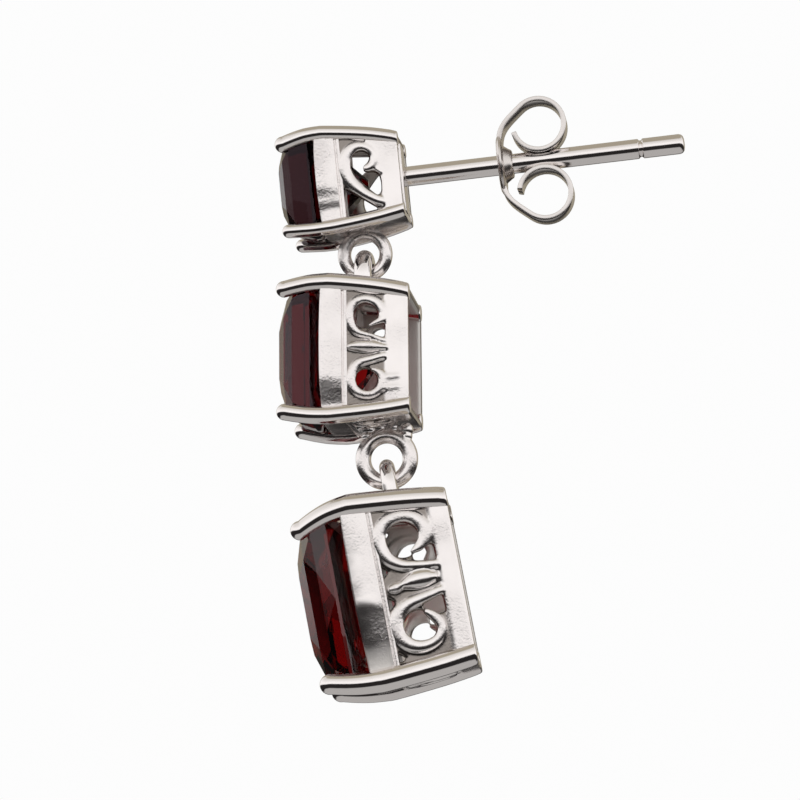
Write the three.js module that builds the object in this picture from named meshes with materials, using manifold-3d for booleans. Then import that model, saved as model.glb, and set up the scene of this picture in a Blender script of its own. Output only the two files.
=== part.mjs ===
// A three-tier drop earring: square cushion garnets in pierced silver baskets, a post and a butterfly nut.
// Millimetres, +Z up. The stones face -Y, the post runs towards +Y, and the origin is on the post,
// in the middle of the ear lobe. Each basket is drawn in a frame of its own: x across, z up,
// and y = 0 on its back plane, with the stone at negative y.
import * as THREE from "three";
import { ConvexGeometry } from "three/addons/geometries/ConvexGeometry.js";
import { mergeVertices } from "three/addons/utils/BufferGeometryUtils.js";
import Module from "manifold-3d";

const wasm = await Module();
wasm.setup();

// Driving sizes shared by the three tiers
const RUNNING_GAP = 0.05; // between a ring and the loop that hangs in it
const SEAT_GAP = 0.04; // between a stone and its claws
const GRIP = 0.09; // how far the stone's corner bites into each claw, along x and along z
const POCKET_DEPTH = 0.12; // the ground of the gallery lies this far below the scrolls
const RAIL_DEPTH = 0.2; // the groove between bezel band and gallery
const BAND_BOW = 0.1; // the bezel's front edge bows forward in the middle of each side
const EMBED = 0.2; // how deep a soldered wire reaches into the basket wall

// Post and nut
const POST_RADIUS = 0.48;
const POST_LENGTH = 13.5;
const NOTCH_FROM_TIP = 2.1;
const NOTCH_WIDTH = 0.24;
const NOTCH_DEPTH = 0.08;
const LOBE_ROOM = 4.58; // from the back of the stud to the face of the nut
const STUD_BACK = 2.25; // from the origin to the back of the stud
const POST_UP = 0.14; // the post stands this far above the middle of the stud
const BAR_WIDTH = 1.5; // the bar across the back of the stud that carries the post
const BAR_DEPTH = 0.7;

const NUT_STRIP = 0.25; // thickness of the springy strip
const NUT_WIDTH = 1.4;
const NUT_CURL_RADIUS = 1.355; // outside radius of a curl
const NUT_CURL_BACK = 1.96; // from the plate to the middle of a curl
const NUT_CURL_GRIP = 0.165; // how far the curls close in on the post, in the groove that the bore leaves
const NUT_PLATE_HALF = { across: 1.6, up: 1.45 };
const NUT_COLLAR = { length: 0.52, wide: 0.98, narrow: 0.72 };
const NUT_BORE_GAP = 0.04;

// One row of sizes for each tier. Lengths along the axis add up from the back plane to the front:
// backBand, gallery, rail, band, lift (bare stone between band and girdle), girdle, crownLow, crownHigh.
// A claw's tip is counted from the back plane too, and its end is the radius there.
const STUD = {
  stoneHalf: 2.36, pavilion: 2.6,
  backBand: 0.95, gallery: 1.85, rail: 0.2, band: 0.95,
  lift: 0.43, girdle: 0.2, crownLow: 0.68, crownHigh: 0.67,
  prongRadius: 0.36, backHalf: 2.08, relief: 0.16, wall: 0.42,
  upperClaw: { tip: 5.88, inward: 0.31, end: 0.4 }, lowerClaw: { tip: 5.88, inward: 0.08, end: 0.33 },
};
const MIDDLE = {
  stoneHalf: 3.27, pavilion: 2.9,
  backBand: 1.12, gallery: 1.81, rail: 0.2, band: 1.0,
  lift: 0.55, girdle: 0.19, crownLow: 0.66, crownHigh: 0.81,
  prongRadius: 0.44, backHalf: 3.12, relief: 0.18, wall: 0.46,
  upperClaw: { tip: 6.29, inward: 0.26, end: 0.4 }, lowerClaw: { tip: 6.29, inward: 0.28, end: 0.4 },
};
const DROP = {
  stoneHalf: 4.2, pavilion: 3.5,
  backBand: 0.98, gallery: 2.62, rail: 0.2, band: 1.17,
  lift: 0.78, girdle: 0.15, crownLow: 0.64, crownHigh: 0.96,
  prongRadius: 0.55, backHalf: 4.18, relief: 0.22, wall: 0.52,
  upperClaw: { tip: 7.42, inward: 0.66, end: 0.46 }, lowerClaw: { tip: 7.36, inward: 0.34, end: 0.48 },
};

// The rings below the stud and the middle basket, and the loops that hang in them.
// set: from the back plane to the wire's middle. hang: from the basket's wall to the ring's outside.
const STUD_RING = { hole: 0.68, wire: 0.65, set: 2.29, hang: -0.26 };
const MIDDLE_RING = { hole: 0.75, wire: 0.75, set: 1.44, hang: 0.16 };
const MIDDLE_LOOP = { wire: 0.86, inside: 0.52, rise: 1.59, set: 2.4 };
const DROP_LOOP = { wire: 0.72, inside: 0.62, rise: 1.79, set: 2.57 };
// How each tier lies at rest, in degrees: lean lifts its back or post, yaw turns it about the vertical
// and roll about its own axis
const STUD_HANG = { lean: 5.5, yaw: 0, roll: 2.3 };
const MIDDLE_HANG = { lean: 0.7, yaw: 0, roll: -1.2 };
const DROP_HANG = { lean: 10.8, yaw: 3.6, roll: 0 };

// How the prongs spread from the back plane (0) to the girdle (1)
const SPREAD = [
  { along: 0, spread: 0 },
  { along: 0.25, spread: 0.4 },
  { along: 0.5, spread: 0.68 },
  { along: 0.75, spread: 0.9 },
  { along: 1, spread: 1 },
];

// A claw bends in from the bezel's front edge, through these shares of its length, in a curve of this
// power, and tapers to its domed tip. Its back end is a little smaller too.
const CLAW = { bends: [0, 0.3, 0.55, 0.8, 1], curve: 1.8, dome: [30, 60, 82], backEnd: 0.8 };

// The quarter outline of a cushion stone's girdle, in shares of its half width
const CUSHION = [
  { across: 1, up: 0 },
  { across: 0.99, up: 0.42 },
  { across: 0.965, up: 0.86 },
  { across: 0.86, up: 0.965 },
  { across: 0.42, up: 0.99 },
];
const CORNER_SHARE = (CUSHION[2].across + CUSHION[2].up) / 2;

// The same quarter where the crown's main facets end
const CROWN_RING = [
  { across: 0.94, up: 0.32 },
  { across: 0.915, up: 0.76 },
  { across: 0.76, up: 0.915 },
  { across: 0.32, up: 0.94 },
];

// Corners of the other facet rings: on the share of the half width across, off the middle by the share flat
const TABLE_RING = { across: 0.52, flat: 0.34 };
const SHOULDER_RING = { across: 0.81, flat: 0.5, rise: 0.56 }; // rise: its share of crownHigh
const PAVILION_RING = { across: 0.62, flat: 0.36, deep: 0.5 };
const CULET_RING = { across: 0.08, flat: 0.03 };

// The openings of the gallery in shares of its depth: along from the rail to the back band,
// and up from the middle
const SCROLL = { along: 0.49, up: 0.79, outside: 0.49, hole: 0.295 };
const CURL_TOOTH = [[0.42, 0.52], [0.95, 0.42], [0.95, 0.83], [0.64, 0.72]];
const SIDE_TRIANGLE = [[0.98, 0.6], [0.98, 0.24], [0.68, 0.38]];
const CORNER_TRIANGLE = [[0.03, 0.42], [0.19, 0.28], [0.04, 0.15]];
const LENS = { along: 0.46, up: 0, long: 0.43, high: 0.15 };
const STUD_SCROLL = { along: 0.43, up: 0.4, outside: 0.4 };
const STUD_COMMA = [
  [0.41, 0.63], [0.33, 0.6], [0.26, 0.42], [0.26, 0.22], [0.36, 0.03], [0.88, -0.53], [0.98, -0.42],
  [1, -0.24], [0.96, -0.02], [0.9, 0.1], [0.7, 0.03], [0.55, 0.08], [0.62, 0.3], [0.66, 0.48], [0.56, 0.61],
];
const STUD_TRIANGLE = [[0.03, -0.29], [0.84, -0.82], [0.03, -0.92]];
const STUD_BAR = [[0.04, 0.24], [0.3, 0.0], [1.06, -0.66], [1.06, -0.84], [0.75, -0.72], [0.06, -0.18]];

// The block of solder between a ring and its basket, and the slot left open in it, in shares of the
// ring's outside radius
const SADDLE = { foot: 0.64, top: 0.7, deep: 0.7, wide: 0.8, slot: 0.36, slotHigh: 0.62 };

// The nut's strip bends from the plate to the curl through these shares of the curl's height
const NUT_SHOULDER = [[0, 0.55], [0.03, 0.82], [0.11, 1.08], [0.22, 1.26]];
const NUT_CURL = { start: 130, sweep: 298 };

// Facets of the round shapes
const WIRE_SIDES = 6;
const RING_SIDES = 16;
const LOOP_BENDS = 8;
const PRONG_SIDES = 10;
const HOLE_SIDES = 14;
const OVAL_SIDES = 12;
const POST_SIDES = 12;
const PLATE_SIDES = 20;
const CURL_TURNS = 20;
const WELD = 1e-4; // points nearer than this are one point
const FLATTEN = 0.002; // corners that stand out less than this are smoothed away
const FLAT = 1e-6; // a bow that keeps an edge straight but gives it the same points

const silver = new THREE.MeshStandardMaterial({ color: 0xd6d3d0, roughness: 0.12, metalness: 1 });
const nutSilver = new THREE.MeshStandardMaterial({ color: 0xc4bfbc, roughness: 0.2, metalness: 1 });
const garnet = new THREE.MeshStandardMaterial({ color: 0x4a0506, roughness: 0.04, metalness: 0 });

// Turning geometry into solids and back

// A mirrored prong or outline comes out with its faces pointing inwards, so it is turned round
function solid(geometry) {
  const bare = geometry.clone();
  bare.deleteAttribute("normal");
  bare.deleteAttribute("uv");
  const merged = mergeVertices(bare, WELD);
  const body = (triVerts) =>
    new wasm.Manifold(
      new wasm.Mesh({ numProp: 3, vertProperties: merged.attributes.position.array, triVerts }),
    );
  const faces = new Uint32Array(merged.index.array);
  const made = body(faces);
  return made.volume() < 0 ? body(faces.reverse()) : made;
}

function mesh(name, made, material) {
  const cut = made.simplify(FLATTEN).getMesh();
  const geometry = new THREE.BufferGeometry();
  geometry.setAttribute("position", new THREE.BufferAttribute(new Float32Array(cut.vertProperties), 3));
  geometry.setIndex(new THREE.BufferAttribute(new Uint32Array(cut.triVerts), 1));
  geometry.computeVertexNormals();
  const piece = new THREE.Mesh(geometry, material);
  piece.name = name;
  return piece;
}

function join(pieces) {
  return pieces.reduce((sum, piece) => sum.add(piece));
}

// A closed skin through rings that have the same number of points, with a fan at each end
function loft(rings) {
  const count = rings[0].length;
  const corners = rings.flat().flatMap((p) => [p.x, p.y, p.z]);
  const faces = [];
  for (let r = 0; r + 1 < rings.length; r++)
    for (let i = 0; i < count; i++) {
      const a = r * count + i;
      const b = r * count + ((i + 1) % count);
      faces.push(a, b, b + count, a, b + count, a + count);
    }
  for (const [r, forward] of [[0, false], [rings.length - 1, true]]) {
    const middle = rings[r].reduce((sum, p) => sum.add(p), new THREE.Vector3()).divideScalar(count);
    const hub = corners.length / 3;
    corners.push(middle.x, middle.y, middle.z);
    for (let i = 0; i < count; i++) {
      const a = r * count + i;
      const b = r * count + ((i + 1) % count);
      faces.push(...(forward ? [a, b, hub] : [b, a, hub]));
    }
  }
  const geometry = new THREE.BufferGeometry();
  geometry.setAttribute("position", new THREE.Float32BufferAttribute(corners, 3));
  geometry.setIndex(faces);
  return geometry;
}

// A square ring with round corners at depth y, whose sides bow forward by bow in their middles
function squareRing(half, radius, y, bow = 0) {
  const cornerSteps = 3;
  const sideSteps = bow ? 4 : 1;
  const straight = half - radius;
  const points = [];
  for (let quarter = 0; quarter < 4; quarter++) {
    const turn = (quarter * Math.PI) / 2;
    const put = (x, z, forward) =>
      points.push(
        new THREE.Vector3(
          x * Math.cos(turn) - z * Math.sin(turn),
          y - forward,
          x * Math.sin(turn) + z * Math.cos(turn),
        ),
      );
    for (let i = 0; i < sideSteps; i++) {
      const z = -straight + (2 * straight * i) / sideSteps;
      put(half, z, bow * (1 - (z / half) ** 2));
    }
    for (let i = 0; i < cornerSteps; i++) {
      const angle = ((i / cornerSteps) * Math.PI) / 2;
      put(straight + radius * Math.cos(angle), straight + radius * Math.sin(angle), 0);
    }
  }
  return points;
}

// A flat shape of [along, up] points, extruded by thick. It ends with along on +y, up on +z,
// and its thickness centred on x = 0.
function plate(points, thick) {
  const shape = new THREE.Shape(points.map(([along, up]) => new THREE.Vector2(along, up)));
  const made = new THREE.ExtrudeGeometry(shape, { depth: thick, bevelEnabled: false });
  made.translate(0, 0, -thick / 2);
  made.applyMatrix4(new THREE.Matrix4().set(0, 0, 1, 0, 1, 0, 0, 0, 0, 1, 0, 0, 0, 0, 0, 1));
  return made;
}

function circle(along, up, radius, sides) {
  return Array.from({ length: sides }, (_, i) => {
    const angle = (2 * Math.PI * (i + 0.5)) / sides;
    return [along + radius * Math.cos(angle), up + radius * Math.sin(angle)];
  });
}

function oval(along, up, long, high, sides) {
  return circle(0, 0, 1, sides).map(([a, b]) => [along + a * long, up + b * high]);
}

// The basket

// Depths of a tier, counted forward from its back plane
function depths(tier) {
  const railBack = tier.backBand + tier.gallery;
  const bandBack = railBack + tier.rail;
  const bandFront = bandBack + tier.band;
  const girdleBack = bandFront + tier.lift;
  const girdleFront = girdleBack + tier.girdle;
  const crownMiddle = girdleFront + tier.crownLow;
  const table = crownMiddle + tier.crownHigh;
  return { railBack, bandBack, bandFront, girdleBack, girdleFront, crownMiddle, table };
}

// Half the width over the prongs at a depth, from the stone's corners and the back plane
function reachAt(tier, depth) {
  const girdleReach = tier.stoneHalf * CORNER_SHARE - GRIP + tier.prongRadius * (1 + Math.SQRT1_2);
  const share = Math.min(depth / depths(tier).girdleBack, 1);
  const next = Math.max(SPREAD.findIndex((row) => row.along >= share), 1);
  const [from, to] = [SPREAD[next - 1], SPREAD[next]];
  const spread = from.spread + ((share - from.along) / (to.along - from.along)) * (to.spread - from.spread);
  return tier.backHalf + spread * (girdleReach - tier.backHalf);
}

function wallAt(tier, depth) {
  return reachAt(tier, depth) - tier.relief;
}

function basketShell(tier) {
  const at = depths(tier);
  const radius = tier.prongRadius;
  const face = (depth, inset, bow) => squareRing(wallAt(tier, depth) - inset, radius, -depth, bow);
  const flat = (depth, inset) => face(depth, inset, FLAT);
  const outside = loft([
    flat(0, tier.relief),
    flat(tier.relief, 0),
    flat(tier.backBand, 0),
    flat(at.railBack, 0),
    flat(at.railBack, RAIL_DEPTH),
    flat(at.bandBack, RAIL_DEPTH),
    flat(at.bandBack, 0),
    face(at.bandFront - RAIL_DEPTH, 0, BAND_BOW),
    face(at.bandFront, RAIL_DEPTH / 2, BAND_BOW),
  ].reverse());
  const clear = tier.wall;
  const inside = loft([
    flat(-clear, tier.wall),
    flat(at.railBack, tier.wall),
    flat(at.bandFront + clear, tier.wall),
  ].reverse());
  return solid(outside).subtract(solid(inside));
}

// One claw prong on a corner: sideX and sideZ are 1 or -1
function prong(tier, sideX, sideZ) {
  const at = depths(tier);
  const radius = tier.prongRadius;
  const { tip, inward, end } = sideZ > 0 ? tier.upperClaw : tier.lowerClaw;
  const straightEnd = tip - end;
  const stations = SPREAD.map((row) => row.along * at.girdleBack)
    .filter((depth) => depth < at.bandFront)
    .map((depth) => ({ depth, inward: 0, size: radius }));
  stations[0].size *= CLAW.backEnd;
  stations.splice(1, 0, { depth: radius / 2, inward: 0, size: radius });
  for (const share of CLAW.bends)
    stations.push({
      depth: at.bandFront + share * (straightEnd - at.bandFront),
      inward: inward * share ** CLAW.curve,
      size: radius + (end - radius) * share,
    });
  for (const angle of CLAW.dome) {
    const turn = THREE.MathUtils.degToRad(angle);
    stations.push({ depth: straightEnd + end * Math.sin(turn), inward, size: end * Math.cos(turn) });
  }
  const rings = stations.map(({ depth, inward: bent, size }) => {
    const middle = reachAt(tier, depth) - radius - bent;
    return circle(0, 0, size, PRONG_SIDES).map(
      ([a, b]) => new THREE.Vector3(sideX * middle + a, -depth, sideZ * middle + b),
    );
  });
  return solid(loft(rings.reverse()));
}

// A cutter is drawn for the +x wall and turned about the y axis to each side that it works
const ALL_SIDES = [0, 90, 180, 270];
const SIDES_ABOVE_RING = [0, 180, 270];

function onSides(cutter, sides) {
  return join(sides.map((turn) => cutter.rotate([0, turn, 0])));
}

// Shares of the gallery's depth as [along, up] in millimetres, mirrored up to down where flip is -1
function inGallery(tier, points, flip = 1) {
  const start = -depths(tier).railBack;
  return points.map(([along, up]) => [start + along * tier.gallery, flip * up * tier.gallery]);
}

// A through cut in the +x wall
function throughCut(tier, points) {
  const cut = plate(points, 4 * tier.wall);
  cut.translate(wallAt(tier, tier.backBand + tier.gallery / 2) - tier.wall, 0, 0);
  return cut;
}

// The shallow ground between the raised scrolls of the +x wall, laid on the wall's own slope
function groundPocket(tier, raised) {
  const at = depths(tier);
  const rise = wallAt(tier, at.railBack) - wallAt(tier, tier.backBand);
  const slope = Math.atan2(rise, tier.gallery);
  const thick = 2 * POCKET_DEPTH;
  const up = wallAt(tier, tier.backBand) - tier.prongRadius;
  const front = -at.railBack - tier.rail / 2;
  const field = [[front, -up], [-tier.backBand, -up], [-tier.backBand, up], [front, up]];
  const lay = (points, deep) => {
    const made = plate(points, deep);
    made.translate(0, tier.backBand, 0);
    made.rotateZ(slope);
    made.translate(wallAt(tier, tier.backBand), -tier.backBand, 0);
    return made;
  };
  const keep = join(raised.map((points) => solid(lay(points, 2 * thick))));
  const pocket = solid(lay(field, thick)).subtract(keep);
  return onSides(pocket, ALL_SIDES);
}

function scrollGallery(tier, basket) {
  const wide = tier.gallery;
  const start = -depths(tier).railBack;
  const raised = [];
  const cuts = [];
  for (const flip of [1, -1]) {
    const middle = [start + SCROLL.along * wide, flip * SCROLL.up * wide];
    raised.push(circle(...middle, SCROLL.outside * wide, HOLE_SIDES));
    const hole = solid(throughCut(tier, circle(...middle, SCROLL.hole * wide, HOLE_SIDES)));
    const tooth = inGallery(tier, CURL_TOOTH, flip);
    cuts.push(hole.subtract(solid(throughCut(tier, tooth))));
    for (const outline of [SIDE_TRIANGLE, CORNER_TRIANGLE])
      cuts.push(solid(throughCut(tier, inGallery(tier, outline, flip))));
  }
  const [along, up, long, high] = [LENS.along, LENS.up, LENS.long, LENS.high].map((share) => share * wide);
  raised.push(oval(start + along, up, long, high, OVAL_SIDES));
  return basket.subtract(groundPocket(tier, raised)).subtract(onSides(join(cuts), ALL_SIDES));
}

function commaGallery(tier, basket) {
  const wide = tier.gallery;
  const start = -depths(tier).railBack;
  const raised = [
    circle(start + STUD_SCROLL.along * wide, STUD_SCROLL.up * wide, STUD_SCROLL.outside * wide, HOLE_SIDES),
    inGallery(tier, STUD_BAR),
  ];
  const outlines = [STUD_COMMA, STUD_TRIANGLE];
  const cuts = outlines.map((outline) => solid(throughCut(tier, inGallery(tier, outline))));
  return basket.subtract(groundPocket(tier, raised)).subtract(onSides(join(cuts), SIDES_ABOVE_RING));
}

// The stones

// grow makes the same stone larger all round, as the tool that cuts the seat
function stone(tier, grow = 0) {
  const at = depths(tier);
  const half = tier.stoneHalf;
  const ring = (depth, shares, size) =>
    shares.flatMap(({ across, up }) =>
      [0, 1, 2, 3].map((quarter) => {
        const turn = (quarter * Math.PI) / 2;
        const [x, z] = [across * size + Math.sign(across) * grow, up * size + Math.sign(up) * grow];
        return new THREE.Vector3(
          x * Math.cos(turn) - z * Math.sin(turn),
          -depth,
          x * Math.sin(turn) + z * Math.cos(turn),
        );
      }),
    );
  const corners = ({ across, flat }) => [{ across, up: flat }, { across: flat, up: across }];
  const points = [
    ...ring(at.table + grow, corners(TABLE_RING), half),
    ...ring(at.crownMiddle + SHOULDER_RING.rise * tier.crownHigh + grow, corners(SHOULDER_RING), half),
    ...ring(at.crownMiddle + grow, CROWN_RING, half),
    ...ring(at.girdleFront + grow, CUSHION, half),
    ...ring(at.girdleBack - grow, CUSHION, half),
    ...ring(at.girdleBack - PAVILION_RING.deep * tier.pavilion - grow, corners(PAVILION_RING), half),
    ...ring(at.girdleBack - tier.pavilion - grow, corners(CULET_RING), half),
  ];
  return solid(new ConvexGeometry(points));
}

// Rings, loops, post and nut

// A round wire bent to a full ring about the x axis
function wireRing(ring) {
  const radius = ring.hole + ring.wire / 2;
  const profile = circle(radius, 0, ring.wire / 2, WIRE_SIDES).map(([r, h]) => new THREE.Vector2(r, h));
  profile.push(profile[0].clone());
  const made = new THREE.LatheGeometry(profile.reverse(), RING_SIDES, Math.PI / RING_SIDES);
  made.rotateZ(Math.PI / 2);
  return made;
}

// A staple of round wire in the xz plane: a half ring on two legs, its top bar's middle at the origin
function wireLoop(loop, legs) {
  const radius = loop.inside + loop.wire / 2;
  const route = [new THREE.Vector3(radius, 0, -radius - legs)];
  for (let i = 0; i <= LOOP_BENDS; i++) {
    const angle = (Math.PI * i) / LOOP_BENDS;
    route.push(new THREE.Vector3(radius * Math.cos(angle), 0, radius * (Math.sin(angle) - 1)));
  }
  route.push(new THREE.Vector3(-radius, 0, -radius - legs));
  const rings = route.map((point, i) => {
    const before = route[Math.max(i - 1, 0)];
    const after = route[Math.min(i + 1, route.length - 1)];
    const forward = after.clone().sub(before).normalize();
    const outward = new THREE.Vector3(forward.z, 0, -forward.x);
    return circle(0, 0, loop.wire / 2, WIRE_SIDES).map(([a, b]) =>
      point.clone().addScaledVector(outward, a).add(new THREE.Vector3(0, b, 0)),
    );
  });
  return loft(rings);
}

// Where a ring's middle lies under its basket
function ringMiddle(tier, ring) {
  return new THREE.Vector3(0, -ring.set, -(wallAt(tier, ring.set) + ring.hang + ring.hole + ring.wire));
}

// Where a loop's top bar lies above its basket
function barMiddle(tier, loop) {
  return new THREE.Vector3(0, -loop.set, wallAt(tier, loop.set) + loop.rise);
}

function ringBelow(tier, ring) {
  const middle = ringMiddle(tier, ring);
  return solid(wireRing(ring).translate(...middle));
}

// The saddle of solder between a ring and its basket, with the slot that the solder leaves open
function solderSaddle(tier, ring) {
  const middle = ringMiddle(tier, ring);
  const outside = ring.hole + ring.wire;
  const [foot, top, deep] = [SADDLE.foot * outside, SADDLE.top * outside, SADDLE.deep * outside];
  const inWall = (along) => EMBED - wallAt(tier, ring.set - along) - middle.z;
  const outline = [[-foot, deep], [foot, deep], [top, inWall(top)], [-top, inWall(-top)]];
  const block = plate(outline, SADDLE.wide * ring.wire);
  const [slotLong, slotHigh] = [SADDLE.slot * outside, SADDLE.slotHigh * ring.hang];
  const opening = oval(0, outside + ring.hang / 2, slotLong, slotHigh, OVAL_SIDES);
  const slot = plate(opening, 2 * ring.wire);
  return solid(block.translate(...middle)).subtract(solid(slot.translate(...middle)));
}

function loopAbove(tier, loop) {
  const legs = loop.rise - loop.inside - loop.wire / 2 + EMBED;
  return solid(wireLoop(loop, legs).translate(...barMiddle(tier, loop)));
}

function post() {
  const groove = POST_LENGTH - NOTCH_FROM_TIP;
  const profile = [
    [0, -BAR_DEPTH / 2],
    [POST_RADIUS, -BAR_DEPTH / 2],
    [POST_RADIUS, groove - NOTCH_WIDTH / 2],
    [POST_RADIUS - NOTCH_DEPTH, groove],
    [POST_RADIUS, groove + NOTCH_WIDTH / 2],
    [POST_RADIUS, POST_LENGTH - POST_RADIUS * 0.5],
    [POST_RADIUS * 0.75, POST_LENGTH - POST_RADIUS * 0.14],
    [0, POST_LENGTH],
  ];
  const made = new THREE.LatheGeometry(profile.map(([r, y]) => new THREE.Vector2(r, y)), POST_SIDES);
  return solid(made.translate(0, 0, POST_UP));
}

function backBar(tier) {
  const up = wallAt(tier, 0) - tier.wall / 2;
  return solid(plate([[-BAR_DEPTH, -up], [0, -up], [0, up], [-BAR_DEPTH, up]], BAR_WIDTH));
}

// The nut's strip as seen from the side: one curl, the plate, the other curl
function nutStrip() {
  const bend = NUT_CURL_RADIUS - NUT_STRIP / 2;
  const up = POST_RADIUS + NUT_CURL_RADIUS - NUT_CURL_GRIP;
  const half = [[0, 0], ...NUT_SHOULDER.map(([back, high]) => [back * up, high * up])];
  for (let i = 0; i <= CURL_TURNS; i++) {
    const angle = THREE.MathUtils.degToRad(NUT_CURL.start - (NUT_CURL.sweep * i) / CURL_TURNS);
    half.push([NUT_CURL_BACK + bend * Math.cos(angle), up + bend * Math.sin(angle)]);
  }
  const middle = [...half.slice(1).map(([a, b]) => [a, -b]).reverse(), ...half];
  const side = (sign) =>
    middle.map((point, i) => {
      const before = middle[Math.max(i - 1, 0)];
      const after = middle[Math.min(i + 1, middle.length - 1)];
      const length = Math.hypot(after[0] - before[0], after[1] - before[1]);
      const across = [(after[1] - before[1]) / length, -(after[0] - before[0]) / length];
      return point.map((value, axis) => value + (sign * NUT_STRIP * across[axis]) / 2);
    });
  return plate([...side(1), ...side(-1).reverse()], NUT_WIDTH);
}

function nut() {
  const disc = new THREE.CylinderGeometry(1, 1, NUT_STRIP, PLATE_SIDES);
  disc.scale(NUT_PLATE_HALF.across, 1, NUT_PLATE_HALF.up);
  const { length, wide, narrow } = NUT_COLLAR;
  const collar = new THREE.CylinderGeometry(narrow, wide, length, RING_SIDES);
  collar.translate(0, length / 2, 0);
  const boreRadius = POST_RADIUS + NUT_BORE_GAP;
  const boreLength = 2 * POST_LENGTH;
  const bore = new THREE.CylinderGeometry(boreRadius, boreRadius, boreLength, POST_SIDES);
  return solid(nutStrip()).add(solid(disc)).add(solid(collar)).subtract(solid(bore));
}

// Putting the tiers together

function setting(tier, gallery) {
  const shell = gallery(tier, basketShell(tier));
  const prongs = [[1, 1], [1, -1], [-1, -1], [-1, 1]].map(([x, z]) => prong(tier, x, z));
  return join([shell, ...prongs]).subtract(stone(tier, SEAT_GAP));
}

function turnOf({ lean, yaw, roll }) {
  return new THREE.Euler(...[lean, roll, yaw].map(THREE.MathUtils.degToRad), "ZXY");
}

function place(hang, at) {
  const group = new THREE.Group();
  group.rotation.copy(turnOf(hang));
  group.position.copy(at);
  group.updateMatrixWorld(true);
  return group;
}

// The next tier hangs with its loop's bar just above the lowest point of the ring's hole
function hangFrom(upper, tier, ring, lowerTier, loop, hang) {
  const middle = ringMiddle(tier, ring).applyMatrix4(upper.matrixWorld);
  const wireFlat = (ring.wire / 2) * (1 - Math.cos(Math.PI / WIRE_SIDES));
  middle.z -= (ring.hole + wireFlat) * Math.cos(Math.PI / RING_SIDES) - loop.wire / 2 - RUNNING_GAP;
  return place(hang, middle.sub(barMiddle(lowerTier, loop).applyEuler(turnOf(hang))));
}

const earring = new THREE.Group();

const studFrame = place(STUD_HANG, new THREE.Vector3(0, -STUD_BACK, -POST_UP).applyEuler(turnOf(STUD_HANG)));
const studMetal = join([setting(STUD, commaGallery), backBar(STUD), post(), ringBelow(STUD, STUD_RING)]);
studFrame.add(mesh("stud_setting", studMetal, silver));
studFrame.add(mesh("stud_stone", stone(STUD), garnet));
const earNut = mesh("ear_nut", nut(), nutSilver);
earNut.position.set(0, LOBE_ROOM + NUT_STRIP / 2, POST_UP);
studFrame.add(earNut);

const middleFrame = hangFrom(studFrame, STUD, STUD_RING, MIDDLE, MIDDLE_LOOP, MIDDLE_HANG);
const middleMetal = join([setting(MIDDLE, scrollGallery), loopAbove(MIDDLE, MIDDLE_LOOP),
  ringBelow(MIDDLE, MIDDLE_RING), solderSaddle(MIDDLE, MIDDLE_RING)]);
middleFrame.add(mesh("middle_setting", middleMetal, silver));
middleFrame.add(mesh("middle_stone", stone(MIDDLE), garnet));

const dropFrame = hangFrom(middleFrame, MIDDLE, MIDDLE_RING, DROP, DROP_LOOP, DROP_HANG);
const dropMetal = join([setting(DROP, scrollGallery), loopAbove(DROP, DROP_LOOP)]);
dropFrame.add(mesh("drop_setting", dropMetal, silver));
dropFrame.add(mesh("drop_stone", stone(DROP), garnet));

earring.add(studFrame, middleFrame, dropFrame);
export default earring;
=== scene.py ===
# %% [markdown]
# # A three-tier drop earring
# Three square red stones hang one below the other in pierced, polished silver baskets, with an ear post
# and a butterfly nut. The measured frame comes first: it says where each solid lies. Every finer piece is
# modelled over it in millimetres, shrunk to metres, and rides on the body that carries it.

import math

import bpy
from mathutils import Matrix, Vector


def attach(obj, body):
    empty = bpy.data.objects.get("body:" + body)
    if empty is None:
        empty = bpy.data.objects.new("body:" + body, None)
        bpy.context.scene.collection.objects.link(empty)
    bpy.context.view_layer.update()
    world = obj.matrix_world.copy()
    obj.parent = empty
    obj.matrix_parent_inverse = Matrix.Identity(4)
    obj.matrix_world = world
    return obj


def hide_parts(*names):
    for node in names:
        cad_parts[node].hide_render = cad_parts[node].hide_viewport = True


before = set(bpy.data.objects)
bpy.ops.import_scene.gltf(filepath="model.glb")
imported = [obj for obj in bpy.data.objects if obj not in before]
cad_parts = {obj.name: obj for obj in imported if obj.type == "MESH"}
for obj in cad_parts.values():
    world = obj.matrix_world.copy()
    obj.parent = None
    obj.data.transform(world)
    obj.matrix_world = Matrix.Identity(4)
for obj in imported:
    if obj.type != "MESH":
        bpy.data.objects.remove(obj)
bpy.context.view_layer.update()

# %% [markdown]
# The camera could be set by eye, but here it was fitted to the photograph: it stands 143 mm to the right
# of the earring and a little below it, and looks slightly up through a long lens.

# %% The camera
MM = 0.001
CAMERA = {"target": (0, -2.48, -11.075), "distance": 143, "azimuth": 96.5, "elevation": -8.3, "lens": 135}


def place_camera():
    data = bpy.data.cameras.new("camera")
    data.lens, data.sensor_width = CAMERA["lens"], 36
    data.clip_start, data.clip_end = 1 * MM, 4000 * MM
    camera = bpy.data.objects.new("camera", data)
    bpy.context.scene.collection.objects.link(camera)
    around, up = math.radians(CAMERA["azimuth"]), math.radians(CAMERA["elevation"])
    back = Vector((math.sin(around) * math.cos(up), -math.cos(around) * math.cos(up), math.sin(up)))
    camera.location = (Vector(CAMERA["target"]) + CAMERA["distance"] * back) * MM
    camera.rotation_mode = "QUATERNION"
    camera.rotation_quaternion = (-back).to_track_quat("-Z", "Y")
    bpy.context.scene.camera = camera
    return camera


print("camera at", tuple(round(c, 4) for c in place_camera().location))

# %% [markdown]
# Polished silver is nothing but what it mirrors, so the surroundings are drawn first. A wide white light box
# stands in front and on the camera's side, from the horizon up to a steep angle. Over it and behind the
# earring the room is khaki grey, and under the horizon it is dark, down to a pale table. The camera itself
# sees a white backdrop.

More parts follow.
